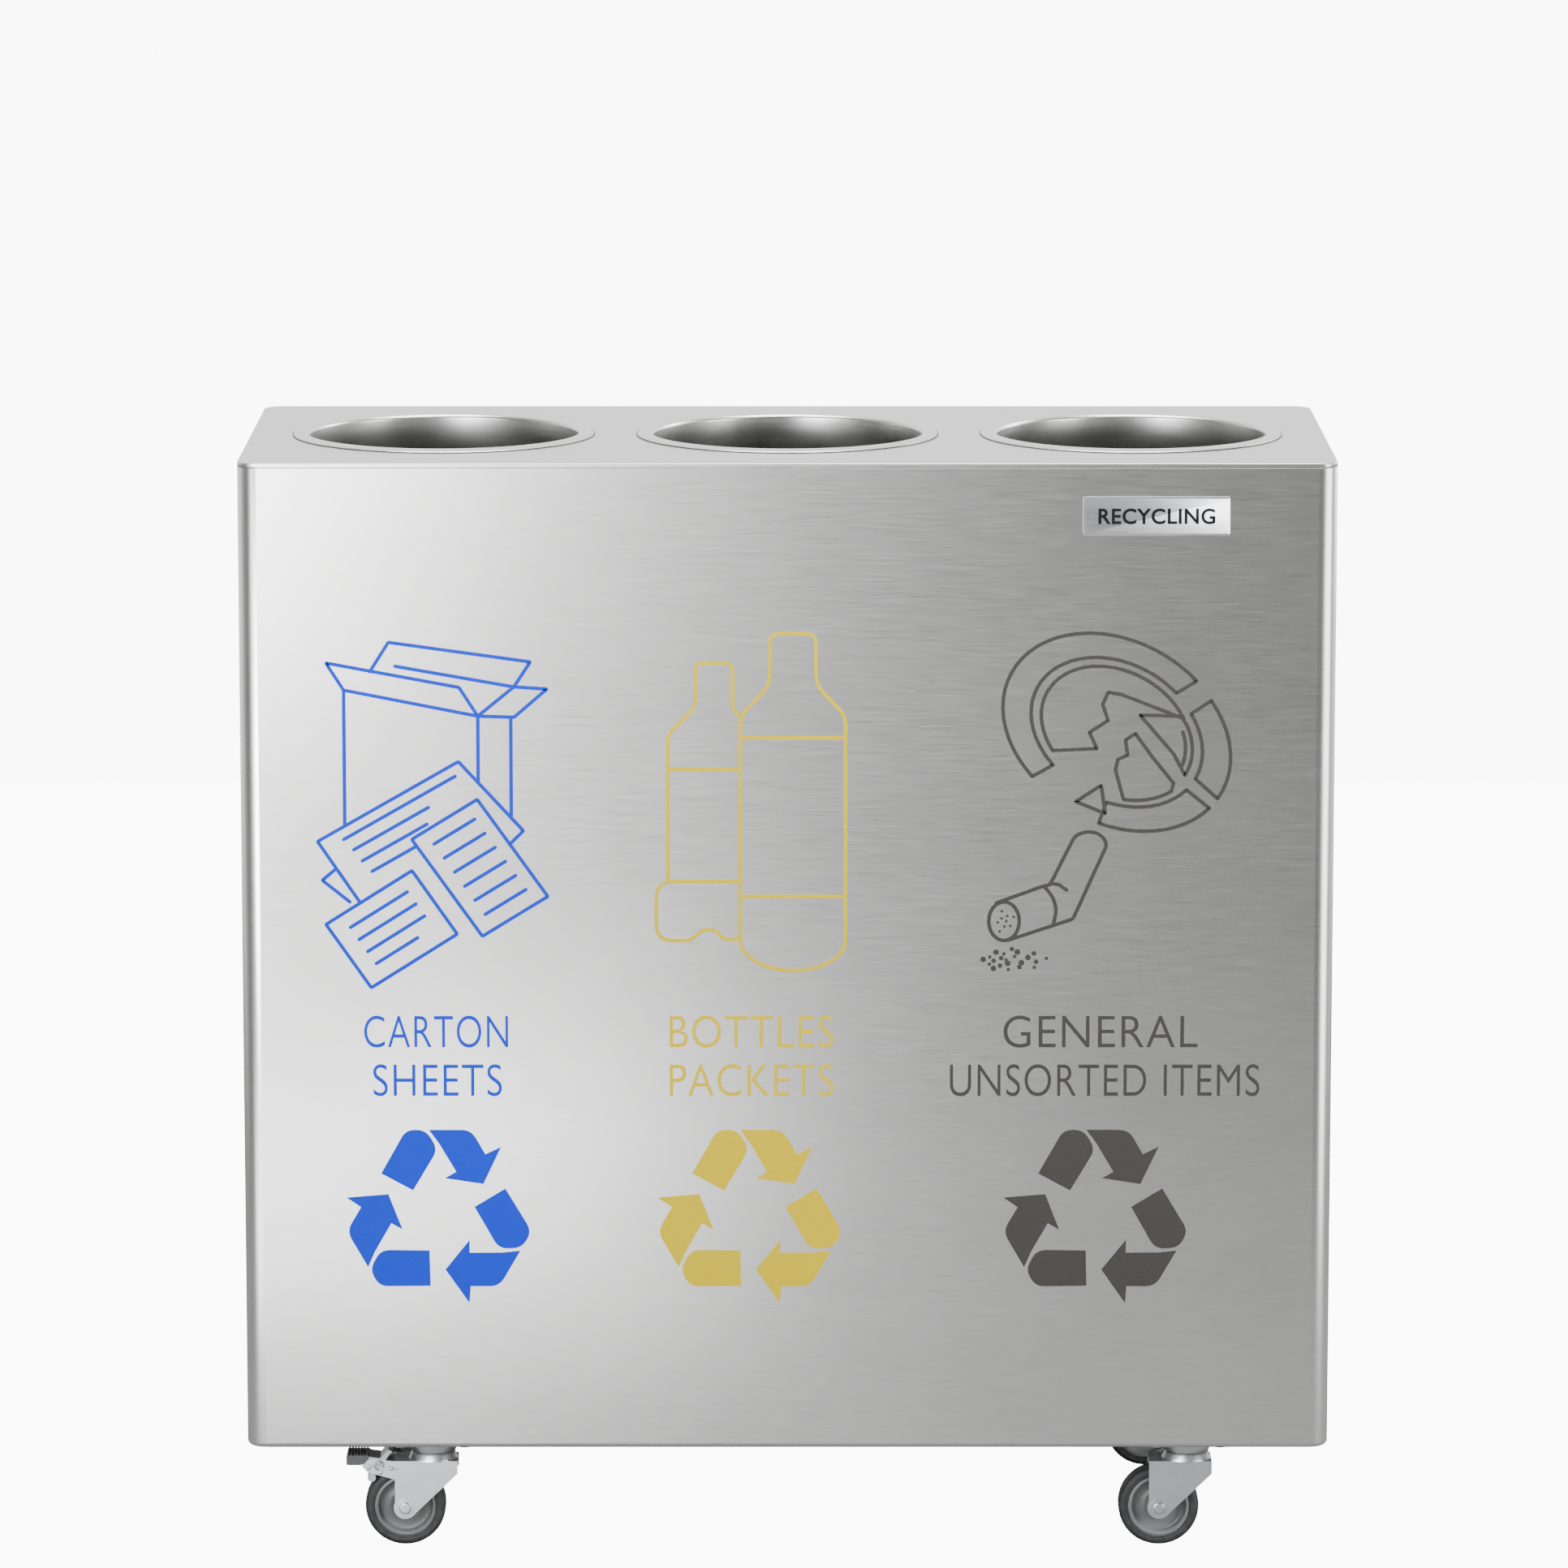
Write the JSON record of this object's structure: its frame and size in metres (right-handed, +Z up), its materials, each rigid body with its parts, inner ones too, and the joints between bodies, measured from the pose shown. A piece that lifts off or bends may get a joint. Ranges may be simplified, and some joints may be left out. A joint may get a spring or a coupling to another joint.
{
  "type": "recycling bin station",
  "caption": "Stainless steel waste sorting station: a wide cabinet on swivel castors with flanged round chutes in the top, lift-out bins inside and hinged rear doors.",
  "frame": {"origin": "centre of the overall box, on the floor under the wheels", "axes": "+Z up, +X to the right seen from the front, -Y towards the printed front panel, +Y towards the rear doors"},
  "size_m": [1, 0.4462, 1.027],
  "materials": {
    "brushed_sheet": "brushed",
    "polished_steel": "satin",
    "plate_metal": "satin",
    "zinc_steel": "zinc plated",
    "hinge_steel": "satin",
    "wire_steel": "drawn",
    "tyre_rubber": "moulded",
    "buffer_rubber": "moulded",
    "wheel_plastic": "moulded",
    "brake_plastic": "pressed steel with a moulded pad",
    "latch_plastic": "moulded",
    "bin_plastic": "moulded"
  },
  "bodies": {
    "cabinet": {"body_shell": "brushed_sheet", "top_panel": "brushed_sheet", "base_plate": "brushed_sheet", "rear_frame": "brushed_sheet", "partition_left": "brushed_sheet", "partition_right": "brushed_sheet", "collar_rings": "brushed_sheet", "nameplate": "plate_metal", "door_buffers": "buffer_rubber", "hinge_frame_leaves": "hinge_steel", "hinge_pins": "hinge_steel", "bag_rings": "wire_steel", "chute_collar_1": "polished_steel", "chute_collar_2": "polished_steel", "chute_collar_3": "polished_steel", "bin_1": "bin_plastic", "bin_2": "bin_plastic", "bin_3": "bin_plastic", "castor_plates": "zinc_steel", "castor_bolts": "zinc_steel", "king_pins": "zinc_steel"},
    "door_left": {"door_skin_1": "brushed_sheet", "door_inner_pan_1": "brushed_sheet", "door_hinge_leaves_1": "hinge_steel", "latch_housing_1": "hinge_steel"},
    "latch_left": {"latch_knob_1": "latch_plastic", "latch_cam_1": "hinge_steel"},
    "bail_left": {"bin_bail_1": "wire_steel"},
    "door_middle": {"door_skin_2": "brushed_sheet", "door_inner_pan_2": "brushed_sheet", "door_hinge_leaves_2": "hinge_steel", "latch_housing_2": "hinge_steel"},
    "latch_middle": {"latch_knob_2": "latch_plastic", "latch_cam_2": "hinge_steel"},
    "bail_middle": {"bin_bail_2": "wire_steel"},
    "door_right": {"door_skin_3": "brushed_sheet", "door_inner_pan_3": "brushed_sheet", "door_hinge_leaves_3": "hinge_steel", "latch_housing_3": "hinge_steel"},
    "latch_right": {"latch_knob_3": "latch_plastic", "latch_cam_3": "hinge_steel"},
    "bail_right": {"bin_bail_3": "wire_steel"},
    "castor_front_left": {"fork_front_left": "zinc_steel", "axle_front_left": "zinc_steel"},
    "rolling_front_left": {"wheel_front_left": "wheel_plastic", "tyre_front_left": "tyre_rubber"},
    "pedal_front_left": {"brake_pedal_front_left": "brake_plastic"},
    "castor_front_right": {"fork_front_right": "zinc_steel", "axle_front_right": "zinc_steel"},
    "rolling_front_right": {"wheel_front_right": "wheel_plastic", "tyre_front_right": "tyre_rubber"},
    "castor_rear_left": {"fork_rear_left": "zinc_steel", "axle_rear_left": "zinc_steel"},
    "rolling_rear_left": {"wheel_rear_left": "wheel_plastic", "tyre_rear_left": "tyre_rubber"},
    "pedal_rear_left": {"brake_pedal_rear_left": "brake_plastic"},
    "castor_rear_right": {"fork_rear_right": "zinc_steel", "axle_rear_right": "zinc_steel"},
    "rolling_rear_right": {"wheel_rear_right": "wheel_plastic", "tyre_rear_right": "tyre_rubber"}
  },
  "joints": [
    {"name": "door_left_hinge", "type": "hinge", "parent": "cabinet", "child": "door_left", "pos_m": [-0.46835, 0.2029, 0.556], "axis": [0, 0, 1], "range_deg": [0, 110]},
    {"name": "latch_left_turn", "type": "hinge", "parent": "door_left", "child": "latch_left", "pos_m": [-0.2085, 0.1981, 0.556], "axis": [0, -1, 0], "range_deg": [0, 90]},
    {"name": "bail_left_swing", "type": "hinge", "parent": "cabinet", "child": "bail_left", "pos_m": [-0.32, -0.0119, 0.7714], "axis": [1, 0, 0], "range_deg": [0, 180]},
    {"name": "door_middle_hinge", "type": "hinge", "parent": "cabinet", "child": "door_middle", "pos_m": [-0.14675, 0.2029, 0.556], "axis": [0, 0, 1], "range_deg": [0, 110]},
    {"name": "latch_middle_turn", "type": "hinge", "parent": "door_middle", "child": "latch_middle", "pos_m": [0.1115, 0.1981, 0.556], "axis": [0, -1, 0], "range_deg": [0, 90]},
    {"name": "bail_middle_swing", "type": "hinge", "parent": "cabinet", "child": "bail_middle", "pos_m": [0, -0.0119, 0.7714], "axis": [1, 0, 0], "range_deg": [0, 180]},
    {"name": "door_right_hinge", "type": "hinge", "parent": "cabinet", "child": "door_right", "pos_m": [0.17325, 0.2029, 0.556], "axis": [0, 0, 1], "range_deg": [0, 110]},
    {"name": "latch_right_turn", "type": "hinge", "parent": "door_right", "child": "latch_right", "pos_m": [0.4331, 0.1981, 0.556], "axis": [0, -1, 0], "range_deg": [0, 90]},
    {"name": "bail_right_swing", "type": "hinge", "parent": "cabinet", "child": "bail_right", "pos_m": [0.32, -0.0119, 0.7714], "axis": [1, 0, 0], "range_deg": [0, 180]},
    {"name": "castor_front_left_swivel", "type": "hinge", "parent": "cabinet", "child": "castor_front_left", "pos_m": [-0.33, -0.1599, 0.106], "axis": [0, 0, 1], "continuous": true},
    {"name": "wheel_front_left_spin", "type": "hinge", "parent": "castor_front_left", "child": "rolling_front_left", "pos_m": [-0.356, -0.1599, 0.0375], "axis": [0, 1, 0], "continuous": true},
    {"name": "brake_front_left_release", "type": "hinge", "parent": "castor_front_left", "child": "pedal_front_left", "pos_m": [-0.38, -0.1599, 0.07849], "axis": [0, 1, 0], "range_deg": [0, 14]},
    {"name": "castor_front_right_swivel", "type": "hinge", "parent": "cabinet", "child": "castor_front_right", "pos_m": [0.372, -0.1599, 0.106], "axis": [0, 0, 1], "continuous": true},
    {"name": "wheel_front_right_spin", "type": "hinge", "parent": "castor_front_right", "child": "rolling_front_right", "pos_m": [0.346, -0.1599, 0.0375], "axis": [0, 1, 0], "continuous": true},
    {"name": "castor_rear_left_swivel", "type": "hinge", "parent": "cabinet", "child": "castor_rear_left", "pos_m": [-0.33, 0.1301, 0.106], "axis": [0, 0, 1], "continuous": true},
    {"name": "wheel_rear_left_spin", "type": "hinge", "parent": "castor_rear_left", "child": "rolling_rear_left", "pos_m": [-0.356, 0.1301, 0.0375], "axis": [0, 1, 0], "continuous": true},
    {"name": "brake_rear_left_release", "type": "hinge", "parent": "castor_rear_left", "child": "pedal_rear_left", "pos_m": [-0.38, 0.1301, 0.07849], "axis": [0, 1, 0], "range_deg": [0, 14]},
    {"name": "castor_rear_right_swivel", "type": "hinge", "parent": "cabinet", "child": "castor_rear_right", "pos_m": [0.372, 0.1301, 0.106], "axis": [0, 0, 1], "continuous": true},
    {"name": "wheel_rear_right_spin", "type": "hinge", "parent": "castor_rear_right", "child": "rolling_rear_right", "pos_m": [0.346, 0.1301, 0.0375], "axis": [0, 1, 0], "continuous": true}
  ]
}
